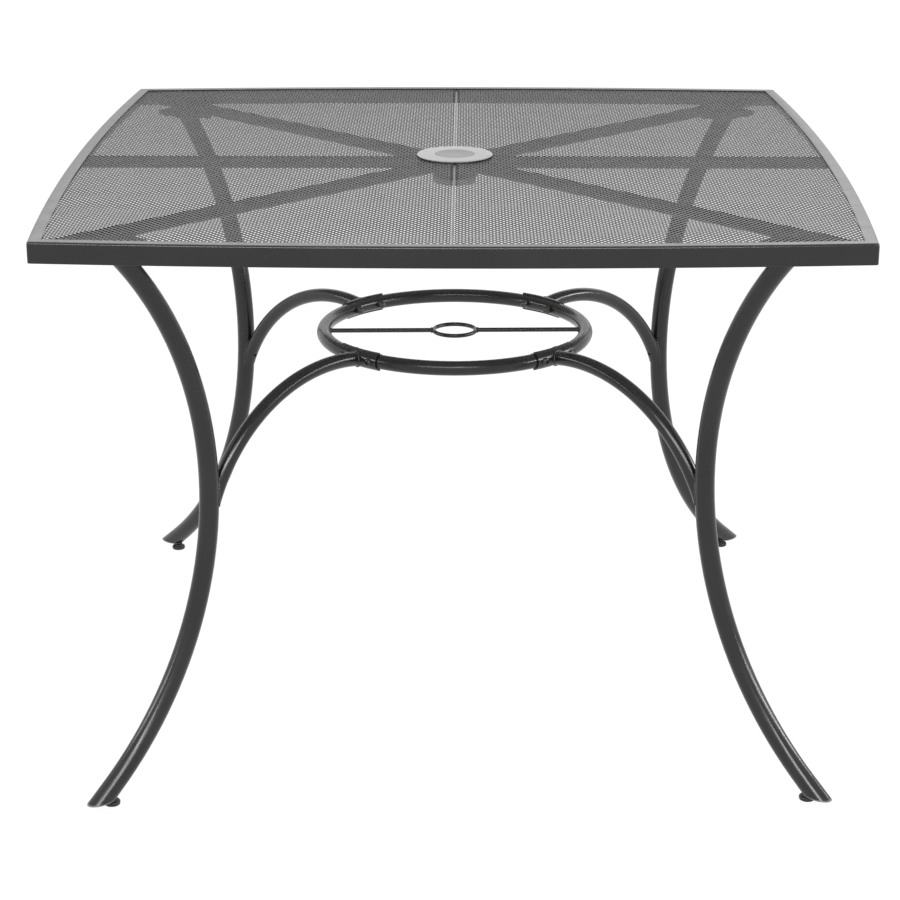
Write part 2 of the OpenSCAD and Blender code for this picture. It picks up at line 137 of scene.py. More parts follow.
# Noise in every finish, as scale, detail and roughness, and how far each one works
TONE_NOISE, GRAIN_NOISE, FINE_DETAIL = (9.0, 4.0), (350.0, 2.0), 2.0
WEAR_NOISE, GLOSS_NOISE = (60.0, 6.0, 0.7), (25.0, 4.0, 0.6)
GRAIN_RANGE, GRAIN_SHARE, SPECK_GAIN = (0.55, 0.8), 0.5, 1.35
WEAR_RANGE = (0.58, 0.75)
GLOSS_LOW, GLOSS_HIGH = 0.05, 0.06


def material(name, dark, light, rough, wear, metallic=0.0, specular=0.5, peel=(900, 0.10, 0.0002),
             fine=(4000, 0.06, 0.00005)):
    """A finish that drifts between two tones, with uneven gloss, orange peel, fine grain and wear.

    wear is a colour and its share; peel and fine are the scale, strength and height of a bump."""
    m = bpy.data.materials.new(name)
    m.use_nodes = True
    t = m.node_tree
    p = t.nodes["Principled BSDF"]
    coord = add(t, "ShaderNodeTexCoord").outputs["Object"]
    colour = blend_colours(t, span(t, noise(t, coord, *TONE_NOISE), 0.0, 1.0), dark, light)
    speck = tuple(min(1.0, c * SPECK_GAIN) for c in light)
    grain = span(t, noise(t, coord, *GRAIN_NOISE), 0.0, GRAIN_SHARE, *GRAIN_RANGE)
    colour = blend_colours(t, grain, colour, speck)
    rub = span(t, noise(t, coord, *WEAR_NOISE), 0.0, wear[1], *WEAR_RANGE)
    colour = blend_colours(t, rub, colour, wear[0])
    wire(t, colour, p.inputs["Base Color"])
    gloss = span(t, noise(t, coord, *GLOSS_NOISE), rough - GLOSS_LOW, rough + GLOSS_HIGH)
    wire(t, gloss, p.inputs["Roughness"])
    p.inputs["Metallic"].default_value = metallic
    p.inputs["Specular IOR Level"].default_value = specular
    n = bump(t, noise(t, coord, peel[0], FINE_DETAIL), peel[1], peel[2])
    n = bump(t, noise(t, coord, fine[0], FINE_DETAIL), fine[1], fine[2], n)
    wire(t, n, p.inputs["Normal"])
    return m


# Finishes
COAT = material("powder_coat_satin", (0.018, 0.018, 0.0175), (0.026, 0.026, 0.025), 0.21,
                ((0.05, 0.05, 0.048), 0.25), specular=0.40,
                peel=(420, 0.035, 0.0002), fine=(3000, 0.02, 0.00005))
MESH_COAT = material("mesh_coat", (0.026, 0.026, 0.0255), (0.036, 0.036, 0.035), 0.27,
                     ((0.06, 0.06, 0.058), 0.3), specular=0.45,
                     peel=(420, 0.05, 0.0001), fine=(3000, 0.03, 0.00005))
COLLAR = material("collar_plastic", (0.54, 0.54, 0.54), (0.60, 0.60, 0.60), 0.45,
                  ((0.60, 0.60, 0.59), 0.2), peel=(1800, 0.20, 0.0001), fine=(6000, 0.15, 0.00004))
CAP = material("cap_plastic", (0.36, 0.36, 0.36), (0.41, 0.41, 0.41), 0.52,
               ((0.38, 0.38, 0.38), 0.3), peel=(1100, 0.35, 0.0002), fine=(5000, 0.2, 0.00005))
PLUG = material("plug_plastic", (0.20, 0.20, 0.20), (0.26, 0.26, 0.255), 0.45,
                ((0.16, 0.155, 0.15), 0.4), peel=(1200, 0.25, 0.0001))
PAD = material("pad_rubber", (0.012, 0.012, 0.012), (0.020, 0.020, 0.020), 0.55,
               ((0.06, 0.058, 0.055), 0.4), peel=(1500, 0.30, 0.0001))
BOLT = material("fastener_black", (0.050, 0.050, 0.048), (0.085, 0.085, 0.082), 0.34,
                ((0.20, 0.20, 0.19), 0.4), metallic=0.7, peel=(1400, 0.2, 0.0001))
WELD = material("weld_coated", (0.030, 0.030, 0.029), (0.044, 0.044, 0.042), 0.24,
                ((0.08, 0.08, 0.078), 0.3), peel=(700, 0.35, 0.0003))

# CAD nodes that aren't coated tube, by the start of their names
NODE_FINISH = {"mesh_": MESH_COAT, "parasol_collar": COLLAR, "parasol_cap": CAP, "foot_plug": PLUG,
               "glide_": PAD, "leg_screws": BOLT, "saddle_bolts": BOLT, "saddle_nuts": BOLT}
for name, obj in nodes.items():
    finish = next((m for start, m in NODE_FINISH.items() if name.startswith(start)), COAT)
    for s in obj.material_slots:
        s.material = finish


# Mesh helpers
def piece(name, verts, faces, mat, slot, body="table", replaces=(), sharp=None):
    """Smooth piece of the scene; with sharp, edges past that many degrees stay sharp."""
    me = bpy.data.meshes.new(name)
    me.from_pydata([tuple(v) for v in verts], [], [tuple(f) for f in faces])
    me.polygons.foreach_set("use_smooth", [True] * len(me.polygons))
    if sharp is not None:
        bm = bmesh.new()
        bm.from_mesh(me)
        bmesh.ops.recalc_face_normals(bm, faces=bm.faces)
        for e in bm.edges:
            if len(e.link_faces) == 2 and e.calc_face_angle(0) > math.radians(sharp):
                e.smooth = False
        bm.to_mesh(me)
        bm.free()
    dress(name, me, mat, body, replaces)


def dress(name, me, mat, body, replaces):
    """Puts a mesh into the scene with its finish, on the body that it moves with."""
    me.materials.append(mat)
    me.update()
    o = bpy.data.objects.new(name, me)
    scene.collection.objects.link(o)
    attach(o, body)
    if replaces:
        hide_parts(*replaces)


def merge(parts):
    """Joins (verts, faces) pairs into one pair."""
    verts, faces = [], []
    for v, f in parts:
        base = len(verts)
        verts += [tuple(p) for p in v]
        faces += [tuple(i + base for i in q) for q in f]
    return verts, faces


def moved(part, matrix):
    v, f = part
    return [tuple(matrix @ Vector(p)) for p in v], f


def turned(degrees, axis="Z"):
    return Matrix.Rotation(math.radians(degrees), 4, axis)


def steps_round(count):
    """Angles of a full turn in equal steps."""
    return [2 * math.pi * k / count for k in range(count)]


def polar(r, a, z):
    return r * math.cos(a), r * math.sin(a), z


def tube(rows):
    """Skins closed rows of points one after the other, with a face at each end."""
    n = len(rows[0])
    last = (len(rows) - 1) * n
    verts = [p for row in rows for p in row]
    faces = []
    for a in range(0, last, n):
        faces += [(a + i, a + n + i, a + n + (i + 1) % n, a + (i + 1) % n) for i in range(n)]
    faces += [tuple(range(n)), tuple(last + i for i in reversed(range(n)))]
    return verts, faces


def shell(rows, low, high):
    """Skins open rows of points round Z, closed by a fan at each end to the points low and high."""
    n, count = len(rows[0]), len(rows)
    verts = [p for row in rows for p in row] + [low, high]
    base = n * count
    faces = []
    for k in range(count):
        a, b = k * n, (k + 1) % count * n
        faces += [(a + i, b + i, b + i + 1, a + i + 1) for i in range(n - 1)]
        faces += [(base, b, a), (base + 1, a + n - 1, b + n - 1)]
    return verts, faces


def lathe(profile, count):
    """Turns a closed (r, z) profile about Z."""
    n = len(profile)
    verts = [polar(r, a, z) for a in steps_round(count) for r, z in profile]
    faces = []
    for k in range(count):
        a, b = k * n, (k + 1) % count * n
        faces += [(a + i, b + i, b + (i + 1) % n, a + (i + 1) % n) for i in range(n)]
    return verts, faces


def lathe_open(profile, count):
    """Turns an open (r, z) profile about Z and closes it on the axis at both ends."""
    rows = [[polar(r, a, z) for r, z in profile] for a in steps_round(count)]
    return shell(rows, (0, 0, profile[0][1]), (0, 0, profile[-1][1]))


def rounded(points, radius, steps, share=0.45):
    """Rounds the corners of a closed 2-D outline, by no more than a share of the sides there."""
    out = []
    n = len(points)
    for i, p in enumerate(points):
        p = Vector(p)
        a, b = Vector(points[i - 1]) - p, Vector(points[(i + 1) % n]) - p
        r = min(radius, a.length * share, b.length * share)
        a, b = p + a.normalized() * r, p + b.normalized() * r
        for k in range(steps + 1):
            t = k / steps
            out.append(tuple((1 - t) ** 2 * a + 2 * t * (1 - t) * p + t * t * b))
    return out


# Weld beads: the spacing of their drops, how much each drop swells and varies, how thin an open end is
DROP, DROP_STEPS = 0.0022, 5
SWELL, VARIATION = 0.18, 0.06
BEAD_SIDES, BEAD_END = 8, 0.35
# A direction that no bead runs along, to turn their sections by
ASIDE = Vector((0.13, 0.07, 1))


def resample(path, closed):
    """Points at equal steps along a path, a few to each drop of the weld."""
    pts = [Vector(p) for p in path]
    length = sum((pts[i] - pts[i - 1]).length for i in range(0 if closed else 1, len(pts)))
    count = max(12, int(length / DROP * DROP_STEPS))
    walk = pts + [pts[0]] if closed else pts
    cum = [0.0]
    for a, b in zip(walk, walk[1:]):
        cum.append(cum[-1] + (b - a).length)
    fine = []
    for k in range(count if closed else count + 1):
        s = cum[-1] * k / count
        i = min(int(np.searchsorted(cum, s, side="right")) - 1, len(walk) - 2)
        fine.append(walk[i].lerp(walk[i + 1], (s - cum[i]) / max(cum[i + 1] - cum[i], 1e-9)))
    return fine


def bead(path, radius, seed, closed=True):
    """Weld bead: a tube along a path, swelling and shrinking with each drop of the weld."""
    fine = resample(path, closed)
    n = len(fine)
    jitter = np.random.default_rng(seed).normal(0, VARIATION, n // DROP_STEPS + 2)
    verts, faces = [], []
    for k, p in enumerate(fine):
        before = fine[(k - 1) % n] if closed or k else p
        after = fine[(k + 1) % n] if closed or k < n - 1 else p
        d = (after - before).normalized()
        side = d.cross(ASIDE).normalized()
        up = side.cross(d)
        r = radius * (1 + SWELL * abs(math.sin(math.pi * k / DROP_STEPS)) + jitter[k // DROP_STEPS])
        if not closed and k in (0, n - 1):
            r *= BEAD_END
        verts += [p + side * r * math.cos(a) + up * r * math.sin(a) for a in steps_round(BEAD_SIDES)]
    for k in range(n if closed else n - 1):
        a, b = k * BEAD_SIDES, (k + 1) % n * BEAD_SIDES
        for j in range(BEAD_SIDES):
            m = (j + 1) % BEAD_SIDES
            faces.append((a + j, a + m, b + m, b + j))
    if not closed:
        faces.append(tuple(reversed(range(BEAD_SIDES))))
        faces.append(tuple((n - 1) * BEAD_SIDES + j for j in range(BEAD_SIDES)))
    return verts, faces


def on_leg(turn):
    """Frame of a leg and its brace, leaning about the top of their own diagonal."""
    return (turned(turn) @ Matrix.Translation((0, 0, TABLE_H)) @ Matrix.Rotation(LEAN, 4, "X")
            @ Matrix.Translation((0, 0, -TABLE_H)))


RING_FRAME = Matrix.Translation((0, 0, RING_Z)) @ Matrix.Rotation(RING_YAW, 4, "Z")

# Expanded metal: diamond openings on a lattice, HOLE of its pitch wide, between flat strands
PITCH_X, PITCH_Y, HOLE = 0.0078, 0.0100, 0.76
STRAND_T, STRAND_TOP = 0.0008, MESH_TOP - 0.0001
COLUMNS, ROWS, BANDS = 72, 100, 4
PANEL_INSET, PANEL_HOLE_R, SEAM_GAP = 0.007, 0.0325, 0.0010


def inside_top(x, y, inset):
    """True where a point lies more than inset within all four bowed edges of the top."""
    keep = np.ones(x.shape, bool)
    for cx, cy in ((0, 1), (0, -1), (1, 0), (-1, 0)):
        keep &= (x - cx * EDGE_MID) ** 2 + (y - cy * EDGE_MID) ** 2 < (EDGE_R - inset) ** 2
    return keep


def panel_openings(side):
    """Centres of the openings of one panel."""
    i, j = np.meshgrid(np.arange(0, COLUMNS), np.arange(-ROWS, ROWS + 1))
    i, j = i.ravel(), j.ravel()
    x = SEAM_GAP * side + side * (i + 0.5 * (j % 2)) * PITCH_X + side * PITCH_X / 2
    y = j * PITCH_Y / 2
    keep = inside_top(x, y, PANEL_INSET) & (x ** 2 + y ** 2 > PANEL_HOLE_R ** 2)
    return x[keep], y[keep]


def diamonds(x, y, share):
    """Four corners of the diamond round each centre, at a share of the lattice's pitch."""
    hx, hy = PITCH_X / 2 * share, PITCH_Y / 2 * share
    return np.stack([np.stack([x - hx, y], 1), np.stack([x, y - hy], 1),
                     np.stack([x + hx, y], 1), np.stack([x, y + hy], 1)], 1)


def expanded_metal(name, x, y, node):
    """Strands round a set of openings: top, inner wall and underside of each, joined on the lattice."""
    n = len(x)
    grid = 1e-5
    key = np.round(diamonds(x, y, 1).reshape(-1, 2) / grid).astype(np.int64)
    bonds, index = np.unique(key, axis=0, return_inverse=True)
    bonds = bonds * grid
    edge = diamonds(x, y, HOLE).reshape(-1, 2)
    levels = [np.column_stack([at, np.full(len(at), z)]) for at in (bonds, edge)
              for z in (STRAND_TOP, STRAND_TOP - STRAND_T)]
    co = np.concatenate(levels).astype(np.float32)
    top_i = index.reshape(n, 4)
    low_i = len(bonds) + top_i
    rim_i = 2 * len(bonds) + np.arange(n * 4).reshape(n, 4)
    foot_i = rim_i + n * 4
    quads = []
    for k in range(4):
        m = (k + 1) % 4
        quads.append(np.stack([top_i[:, k], top_i[:, m], rim_i[:, m], rim_i[:, k]], 1))
        quads.append(np.stack([rim_i[:, k], rim_i[:, m], foot_i[:, m], foot_i[:, k]], 1))
        quads.append(np.stack([low_i[:, m], low_i[:, k], foot_i[:, k], foot_i[:, m]], 1))
    quads = np.concatenate(quads).astype(np.int32)
    me = bpy.data.meshes.new(name)
    me.vertices.add(len(co))
    me.vertices.foreach_set("co", co.ravel())
    me.loops.add(quads.size)
    me.loops.foreach_set("vertex_index", quads.ravel())
    me.polygons.add(len(quads))
    me.polygons.foreach_set("loop_start", np.arange(0, quads.size, 4, dtype=np.int32))
    me.update(calc_edges=True)
    dress(name, me, MESH_COAT, "table", (node,))


for side, word in ((-1, "left"), (1, "right")):
    x, y = panel_openings(side)
    for b, picks in enumerate(np.array_split(np.argsort(y, kind="stable"), BANDS)):
        expanded_metal(f"mesh_{word}_{b + 1}", x[picks], y[picks], f"mesh_{word}")

# The seam: a shallow channel between the panels, on both sides of the collar
SEAM_START, SEAM_END = 0.0285, TABLE_W / 2 - RAIL_W + 0.002
SEAM_SECTION = ((-0.0014, -0.0003), (-0.0004, -0.0010), (0.0004, -0.0010), (0.0014, -0.0003),
                (0.0014, -0.0012), (-0.0014, -0.0012))
seam = [tube([[(x, side * y, MESH_TOP + z) for x, z in SEAM_SECTION]
              for y in np.linspace(SEAM_START, SEAM_END, 60)]) for side in (-1, 1)]
piece("mesh_seam_channel", *merge(seam), MESH_COAT, "mesh", replaces=("mesh_seam",), sharp=30)

# Rails: angles with a flat top, a rounded outer edge and a skirt, mitred on the diagonals.
# The table's corners are rounded too, within ROUND_REACH of the middle of the round.
EDGE_ROUND, CORNER_ROUND, LIP_ROUND, RAIL_WALL = 0.003, 0.004, 0.0005, 0.0012
ROUND_REACH, ROUND_SLACK = 0.012, 0.35
# Half the angle between two edges at a corner
HALF_CORNER = math.radians(45) + math.asin(SPAN / 2 / EDGE_R)
# Sections along a rail, as shares of its half length, closer together near the mitres
END_STATIONS = np.array([1, 0.9985, 0.997, 0.9955, 0.994, 0.992, 0.99])
STATIONS = np.concatenate([-END_STATIONS, np.linspace(-0.98, 0.98, 110), END_STATIONS[::-1]])


def quarter(x, z, radius, toward, start, way=1):
    """Quarter round of a section at the corner (x, z), its centre toward these sides of the corner."""
    mid_x, mid_z = x + toward[0] * radius, z + toward[1] * radius
    angles = [math.radians(start + 15 * way * k) for k in range(7)]
    return [(mid_x + radius * math.cos(a), mid_z + radius * math.sin(a)) for a in angles]


def rail_section():
    """Outline of a rail's section about the middle of its box, outwards along x."""
    wall_x, wall_z = RAIL_W / 2 - RAIL_WALL, RAIL_H / 2 - RAIL_WALL
    return (quarter(RAIL_W / 2, RAIL_H / 2, EDGE_ROUND, (-1, -1), 0)
            + quarter(-RAIL_W / 2, RAIL_H / 2, LIP_ROUND, (1, -1), 90)
            + quarter(-RAIL_W / 2, wall_z, LIP_ROUND, (1, 1), 180)
            + quarter(wall_x, wall_z, EDGE_ROUND - RAIL_WALL, (-1, -1), 90, -1)
            + quarter(wall_x, -RAIL_H / 2, LIP_ROUND, (1, 1), 180)
            + quarter(RAIL_W / 2, -RAIL_H / 2, LIP_ROUND, (-1, 1), 270))


def round_corner(p, outwards, side):
    """Draws a point near the table's corner in to the corner's round."""
    reach = (CORNER_REACH - CORNER_ROUND / math.sin(HALF_CORNER)) / math.sqrt(2)
    mid = Vector((side * reach, -reach, p.z))
    away = p - mid
    room = CORNER_ROUND - (RAIL_W / 2 - outwards)
    if room <= 0 or away.x * side - away.y <= 0 or not room < away.length < ROUND_REACH:
        return p
    ahead = Vector((side, -1, 0)).normalized()
    if away.normalized().dot(ahead) <= math.sin(HALF_CORNER) - ROUND_SLACK:
        return p
    return mid + away * (room / away.length)


def rail(name, turn):
    m = turned(turn)
    rows = []
    for s in STATIONS:
        row = []
        for u, w in rail_section():
            r = EDGE_R - RAIL_W / 2 + u
            a = (math.acos(EDGE_MID / (r * math.sqrt(2))) - math.radians(45)) * s
            p = Vector((r * math.sin(a), EDGE_MID - r * math.cos(a), TABLE_H - RAIL_H / 2 + w))
            row.append(m @ round_corner(p, u, 1 if s > 0 else -1))
        rows.append(row)
    piece(f"{name}_rounded", *tube(rows), COAT, "powder_coat", replaces=(name,), sharp=40)


for word, turn in (("front", 0), ("right", 90), ("rear", 180), ("left", 270)):
    rail(f"rail_{word}", turn)

# Weld seams: the radius of each bead, and the curves that they follow
BRACE_LEG_BEAD, BRACE_SADDLE_BEAD, LEG_FLANGE_BEAD = 0.0013, 0.0015, 0.0014
BAR_BEAD, ROD_BEAD = 0.0013, 0.0011
CROTCH_Z, CROTCH_Y = 0.3862, 0.0004


def brace_to_leg(turn):
    """Curve where a brace meets its leg, from the lower end of one side over the crotch to the other."""
    half = []
    for z in np.linspace(BRACE_END_Z, CROTCH_Z, 40):
        phi = math.asin((z - BRACE_Z) / BRACE_BEND_R)
        brace_x = BRACE_CREST_R + BRACE_BEND_R * math.cos(phi)
        leg_x = LEG_WAIST_R + LEG_BEND_R - math.sqrt(LEG_BEND_R ** 2 - (z - LEG_WAIST_Z) ** 2)
        reach = BRACE_D / 2 / math.cos(phi)
        found = None
        for t in np.linspace(0, math.pi, 400):
            x, y = brace_x + reach * math.cos(t), BRACE_D / 2 * math.sin(t)
            if math.hypot(x - leg_x, y) > LEG_D / 2:
                found = (x, y, z)
                break
        if found is None:
            continue
        half.append(found)
        if found[1] < CROTCH_Y:
            break
    m = on_leg(turn)
    return [m @ Vector(p) for p in half + [(x, -y, z) for x, y, z in reversed(half)]]


def brace_to_saddle(turn):
    """Closed curve where a brace meets the saddle plate round the ring."""
    m = on_leg(turn)
    plate_r = RING_D / 2 + SADDLE_T + 0.0002
    near_crest = np.radians(np.arange(70, 104, 0.05))
    path = []
    for psi in steps_round(48):
        r = BRACE_BEND_R + BRACE_D / 2 * math.cos(psi)
        y = BRACE_D / 2 * math.sin(psi)
        for phi in near_crest:
            p = m @ Vector((BRACE_CREST_R + r * math.cos(phi), y, BRACE_Z + r * math.sin(phi)))
            if math.hypot(math.hypot(p.x, p.y) - RING_R, p.z - RING_Z) < plate_r:
                path.append(p)
                break
    return path


def leg_to_flange(turn):
    """Ellipse where a leg's level cut meets its flange."""
    tilt = math.asin((FLANGE_Z - LEG_WAIST_Z) / LEG_BEND_R)
    top_r = LEG_WAIST_R + LEG_BEND_R - LEG_BEND_R * math.cos(tilt)
    bead_z = FLANGE_Z - 0.0009
    m = on_leg(turn)
    loop = []
    for a in steps_round(40):
        x = top_r + LEG_D / 2 / math.cos(tilt) * math.cos(a)
        p = m @ Vector((x, LEG_D / 2 * math.sin(a), FLANGE_Z))
        loop.append((p.x, p.y, bead_z))
    return loop


def bar_to_hub(turn):
    """Curve where a bar meets the hub, kept under the mesh."""
    hub_r, ceiling = HUB_D / 2 + 0.0004, MESH_TOP - MESH_T - 0.0014
    loop = []
    for a in steps_round(32):
        y, z = BAR_D / 2 * math.cos(a), BAR_D / 2 * math.sin(a)
        loop.append(turned(turn) @ Vector((math.sqrt(hub_r * hub_r - y * y), y, min(BAR_Z + z, ceiling))))
    return loop


def rod_circle(turn, x):
    """Circle round a half of the rod, x from the ring's centre."""
    m = RING_FRAME @ turned(turn)
    return [m @ Vector((x, ROD_D / 2 * math.cos(a), ROD_D / 2 * math.sin(a))) for a in steps_round(24)]


for n, (corner, turn) in enumerate(CORNERS.items()):
    piece(f"weld_brace_leg_{corner}", *bead(brace_to_leg(turn), BRACE_LEG_BEAD, seed=11 + n, closed=False),
          WELD, "powder_coat")
    piece(f"weld_brace_saddle_{corner}", *bead(brace_to_saddle(turn), BRACE_SADDLE_BEAD, seed=21 + n),
          WELD, "powder_coat")
    piece(f"weld_leg_flange_{corner}", *bead(leg_to_flange(turn), LEG_FLANGE_BEAD, seed=31 + n),
          WELD, "powder_coat")
bar_welds = [bead(bar_to_hub(turn), BAR_BEAD, seed=41 + n) for n, turn in enumerate(BAR_TURNS)]
piece("weld_bars_hub", *merge(bar_welds), WELD, "powder_coat")

# Ends of the bars, from where the CAD bars stop to the skirts of the rails
SLEEVE_R, SLEEVE_BORE_R = BAR_D / 2 - 0.0001, BAR_D / 2 - 0.0013
STRAIGHT_END = TABLE_W / 2 - RAIL_W - 0.004, TABLE_W / 2 - 0.0014
DIAGONAL_END = CORNER_REACH - 0.034, CORNER_REACH - 0.012


def bar_end(turn):
    inner, outer = DIAGONAL_END if turn % 90 == 45 else STRAIGHT_END
    section = [(SLEEVE_R, inner), (SLEEVE_R, outer), (SLEEVE_BORE_R, outer), (SLEEVE_BORE_R, inner)]
    m = turned(turn) @ Matrix.Translation((0, 0, BAR_Z)) @ turned(90, "Y")
    return moved(lathe(section, 40), m)


piece("bar_ends", *merge([bar_end(turn) for turn in BAR_TURNS]), COAT, "powder_coat", sharp=40)

# Welds of both halves of the rod, to the ring and to the guide ring
ROD_ENDS = (RING_R - RING_D / 2 + 0.0002, GUIDE_R + GUIDE_D / 2 - 0.0002)
rod_welds = [bead(rod_circle(turn, x), ROD_BEAD, seed=51 + n)
             for n, turn in enumerate((0, 180)) for x in ROD_ENDS]
piece("weld_rod", *merge(rod_welds), WELD, "powder_coat")

# Parasol collar and its cap, turned from profiles of radius and height
COLLAR_TOP, LEDGE_Z = MESH_TOP + 0.0027, 0.7112
CAP_SEAT = COLLAR_TOP - 0.002
collar_profile = [
    (0.0263, COLLAR_TOP - 0.0002), (0.0270, COLLAR_TOP), (0.0478, COLLAR_TOP),
    (0.0490, COLLAR_TOP - 0.0003), (0.0497, COLLAR_TOP - 0.0006), (0.0500, COLLAR_TOP - 0.0010),
    (0.0498, COLLAR_TOP - 0.0013), (0.0470, COLLAR_TOP - 0.0014), (0.0470, MESH_TOP),
    (0.0277, MESH_TOP), (0.0277, MESH_TOP - 0.0340), (0.0272, MESH_TOP - 0.0350),
    (0.0244, MESH_TOP - 0.0350), (0.0240, MESH_TOP - 0.0346), (0.0240, LEDGE_Z), (0.0250, LEDGE_Z),
    (0.0250, CAP_SEAT), (0.0263, CAP_SEAT)]
cap_profile = [
    (0.0, COLLAR_TOP - 0.0006), (0.0225, COLLAR_TOP - 0.0006), (0.0232, COLLAR_TOP - 0.0002),
    (0.0240, COLLAR_TOP), (0.0254, COLLAR_TOP), (0.0260, COLLAR_TOP - 0.0006), (0.0260, CAP_SEAT),
    (0.0247, CAP_SEAT), (0.0247, CAP_SEAT - 0.0140), (0.0240, CAP_SEAT - 0.0150),
    (0.0227, CAP_SEAT - 0.0150), (0.0227, CAP_SEAT), (0.0, CAP_SEAT)]
piece("collar_turned", *lathe(rounded(collar_profile, 0.0003, 2), 128), COLLAR, "collar",
      replaces=("parasol_collar",), sharp=35)
piece("cap_turned", *lathe_open(cap_profile, 96), CAP, "cap", body="parasol_cap",
      replaces=("parasol_cap",), sharp=30)


# Bolts, nuts and screws
def hex_radius(af, a):
    """Distance from the middle of a hexagon of this size across flats to its side, at an angle."""
    return af / 2 / math.cos((a % (math.pi / 3)) - math.pi / 6)


def socket_head(d, h, af, depth, count=48):
    """Button head standing on z = 0 with a hexagon socket in its crown."""
    crown = ((0.50, 0), (0.50, 0.30), (0.47, 0.55), (0.41, 0.78), (0.33, 0.93), (0.27, 1))
    rows = [[polar(d * r, a, h * z) for r, z in crown]
            + [polar(hex_radius(af, a), a, h), polar(hex_radius(af, a), a, h - depth)]
            for a in steps_round(count)]
    return shell(rows, (0, 0, 0), (0, 0, h - depth))


def cap_nut(af, h, dome, count=48):
    """Cap nut standing on z = 0: a hexagon with chamfered corners under a dome.

    The cuts, the start of the chamfer and the dome are shares of the nut's size."""
    chamfer_from, chamfer_slope, foot_cut, top_cut = 1.02, 0.58, 1.06, 1.04
    dome_share, dome_steps = 0.47, 8
    rows = []
    for a in steps_round(count):
        flat_r, hex_r = af / 2, hex_radius(af, a)
        low = max(0.0, (hex_r - flat_r * chamfer_from) * chamfer_slope)
        row = [(min(hex_r, flat_r * foot_cut), 0.0), (hex_r, low + 0.0001), (hex_r, h - low - 0.0001),
               (min(hex_r, flat_r * top_cut), h)]
        for s in range(1, dome_steps):
            t = s / dome_steps * math.pi / 2
            row.append((af * dome_share * math.cos(t), h + dome * math.sin(t)))
        rows.append([polar(r, a, z) for r, z in row])
    return shell(rows, (0, 0, 0), (0, 0, h + dome))


def shank(d, z0, z1):
    return lathe_open([(d / 2, z0), (d / 2, z1)], 24)


SOCKET_AF, SOCKET_DEPTH, NUT_DOME = 0.004, 0.0018, 0.0048
HEAD_SEAT = SADDLE_R - 0.0002
BOLT_END, NUT_SEAT = RING_R - RING_D / 2 - 0.004, RING_R - RING_D / 2 + 0.0004
SCREW_HEAD_D, SCREW_HEAD_H, SCREW_D, SCREW_L = 0.010, 0.0036, 0.006, 0.006
SCREW_X, SCREW_Y = 0.028, 0.017
rng = np.random.default_rng(7)


def random_spin():
    return Matrix.Rotation(float(rng.uniform(0, 6.28)), 4, "Z")


bolts, nuts = [], []
for turn in CORNERS.values():
    for s in (-1, 1):
        out = RING_FRAME @ Matrix.Rotation(math.radians(turn) + s * BOLT_ANGLE, 4, "Z") @ turned(90, "Y")
        spin = random_spin()
        head = out @ Matrix.Translation((0, 0, HEAD_SEAT)) @ spin
        bolts.append(moved(socket_head(HEAD_D, HEAD_H, SOCKET_AF, SOCKET_DEPTH), head))
        bolts.append(moved(shank(BOLT_D, BOLT_END, SADDLE_R), out))
        seat = out @ Matrix.Translation((0, 0, NUT_SEAT)) @ turned(180, "X") @ spin
        nuts.append(moved(cap_nut(NUT_AF, NUT_H, NUT_DOME), seat))
piece("bolts_turned", *merge(bolts), BOLT, "fastener", replaces=("saddle_bolts",), sharp=32)
piece("nuts_turned", *merge(nuts), BOLT, "fastener", replaces=("saddle_nuts",), sharp=32)

flange_low, flange_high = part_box("leg_flange_front_left")
flange_mid = (flange_low + flange_high) / 2
flange_r = math.hypot(flange_mid.x, flange_mid.y)
screws = []
for turn in CORNERS.values():
    for sx in (-1, 1):
        for sy in (-1, 1):
            at = Matrix.Translation((flange_r + sx * SCREW_X, sy * SCREW_Y, FLANGE_Z))
            m = turned(turn) @ at @ turned(180, "X") @ random_spin()
            head = socket_head(SCREW_HEAD_D, SCREW_HEAD_H, SOCKET_AF, SOCKET_DEPTH, 36)
            screws += [moved(head, m), moved(shank(SCREW_D, -SCREW_L, 0.0), m)]
piece("screws_turned", *merge(screws), BOLT, "fastener", replaces=("leg_screws",), sharp=32)

# Levelling glides: a pad with a ribbed rim and a neck, and its threaded screw
PAD_PROFILE = ((0.0, 0.0), (0.0086, 0.0), (0.0094, 0.0004), (0.0098, 0.0011), (0.0100, 0.0018),
               (0.0100, 0.0038), (0.0097, 0.0047), (0.0090, 0.0053), (0.0080, 0.0055), (0.0062, 0.0055),
               (0.0060, 0.0058), (0.0060, 0.0079), (0.0058, 0.0080), (0.0030, 0.0080))
RIBS, RIB_DEPTH, RIB_FROM_R = 24, 0.0003, 0.0095
THREAD_PITCH, THREAD_TURNS, THREAD_STEPS, THREAD_START = 0.001, 21, 24, 0.0082
THREAD_ROOT, THREAD_CREST, CORE_D, CORE_LOW, CORE_TOP = 0.00255, 0.0030, 0.0052, 0.0078, 0.0300


def ribbed_pad():
    verts, faces = lathe_open(PAD_PROFILE, 96)
    ribbed = []
    for x, y, z in verts:
        r, a = math.hypot(x, y), math.atan2(y, x)
        if r > RIB_FROM_R:
            r -= RIB_DEPTH * (0.5 - 0.5 * math.cos(a * RIBS))
        ribbed.append(polar(r, a, z))
    return ribbed, faces


